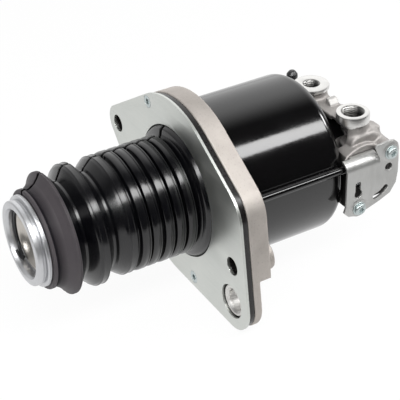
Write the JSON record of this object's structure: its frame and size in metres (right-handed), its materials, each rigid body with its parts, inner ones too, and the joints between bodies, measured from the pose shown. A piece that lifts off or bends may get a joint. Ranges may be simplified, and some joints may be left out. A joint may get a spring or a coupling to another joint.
{
  "type": "clutch actuator",
  "caption": "Air-assisted hydraulic clutch actuator: black can, cast flange with cover plate, rubber bellows, push rod with ball cup, valve housing with threaded ports.",
  "frame": {"origin": "on the push rod's axis, in the front (mating) face of the cover plate", "axes": "+X the way the rod pushes, +Z the way the ports face, +Y the relay valve's side"},
  "size_m": [0.2691, 0.1912, 0.1386],
  "materials": {
    "zinc_plate": "zinc plated, satin",
    "packing": "dull black",
    "cast_flange": "as cast, blasted",
    "cast_housing": "as cast with machined faces",
    "zinc_screw": "bright zinc",
    "machined_ring": "fine turned",
    "black_paint": "gloss black paint",
    "black_pipe": "gloss black coat",
    "bracket_sheet": "satin plated sheet",
    "boot_rubber": "moulded rubber, semi gloss",
    "seal_rubber": "moulded rubber",
    "cap_rubber": "moulded rubber",
    "steel": "ground steel",
    "dark_spring": "dark spring steel",
    "bronze": "plain bronze",
    "turned_alloy": "turned",
    "polished_cup": "polished",
    "band_plastic": "plain",
    "valve_rubber": "moulded on metal",
    "bleed_brass": "yellow passivated"
  },
  "bodies": {
    "housing": {"cover_plate": "zinc_plate", "packing_sheet": "packing", "front_flange": "cast_flange", "cover_screws": "zinc_screw", "locating_sleeve": "machined_ring", "air_cylinder": "black_paint", "cylinder_seal": "seal_rubber", "cylinder_screws": "steel", "guide_bush": "bronze", "rod_wiper": "seal_rubber", "boot_band": "steel", "valve_housing": "cast_housing", "hydraulic_sleeve": "steel", "sleeve_seal": "seal_rubber", "relay_cap": "turned_alloy", "relay_cap_seal": "seal_rubber", "relay_cap_ring": "dark_spring", "inlet_seat": "bronze", "inlet_seat_seal": "seal_rubber", "bracket": "bracket_sheet", "bracket_washers": "zinc_screw", "bracket_screws": "zinc_screw", "vent_pipe": "black_pipe", "pipe_seals": "seal_rubber", "boot": "boot_rubber", "return_spring": "dark_spring", "relay_spring": "dark_spring", "inlet_spring": "dark_spring"},
    "push_rod": {"push_tube": "steel", "air_piston": "turned_alloy", "piston_seal": "seal_rubber", "piston_guide_ring": "band_plastic", "piston_nut": "steel", "hydraulic_piston": "turned_alloy", "hydraulic_seal": "seal_rubber", "plunger_rod": "steel", "nose_ring": "machined_ring", "ball_cup": "polished_cup", "cup_seal": "seal_rubber", "cup_clip": "dark_spring"},
    "relay_piston": {"relay_piston": "turned_alloy", "relay_piston_seal": "seal_rubber"},
    "inlet_valve": {"inlet_valve": "valve_rubber"},
    "bleed_screw": {"bleed_screw": "bleed_brass"},
    "bleed_cap": {"bleed_cap": "cap_rubber"}
  },
  "joints": [
    {"name": "push_slide", "type": "slide", "parent": "housing", "child": "push_rod", "axis": [1, 0, 0], "range_m": [-0.027, 0.024], "stiffness_N_per_m": 600, "deforming": ["boot", "return_spring"]},
    {"name": "relay_slide", "type": "slide", "parent": "housing", "child": "relay_piston", "axis": [0, 1, 0], "range_m": [0, 0.002], "stiffness_N_per_m": 2000, "springref_m": -0.001, "deforming": ["relay_spring"]},
    {"name": "inlet_slide", "type": "slide", "parent": "housing", "child": "inlet_valve", "axis": [0, 1, 0], "range_m": [0, 0.0016], "stiffness_N_per_m": 1200, "springref_m": -0.001, "deforming": ["inlet_spring"]},
    {"name": "bleed_turn", "type": "hinge", "parent": "housing", "child": "bleed_screw", "pos_m": [-0.117, -0.032, 0.02], "axis": [0, 0, 1], "range_deg": [0, 270]},
    {"name": "bleed_cap_pull", "type": "slide", "parent": "bleed_screw", "child": "bleed_cap", "axis": [0, 0, 1], "range_m": [0, 0.02]}
  ],
  "couplings": [
    {"joint": "inlet_slide", "follows": "relay_slide", "ratio": 0.75}
  ]
}
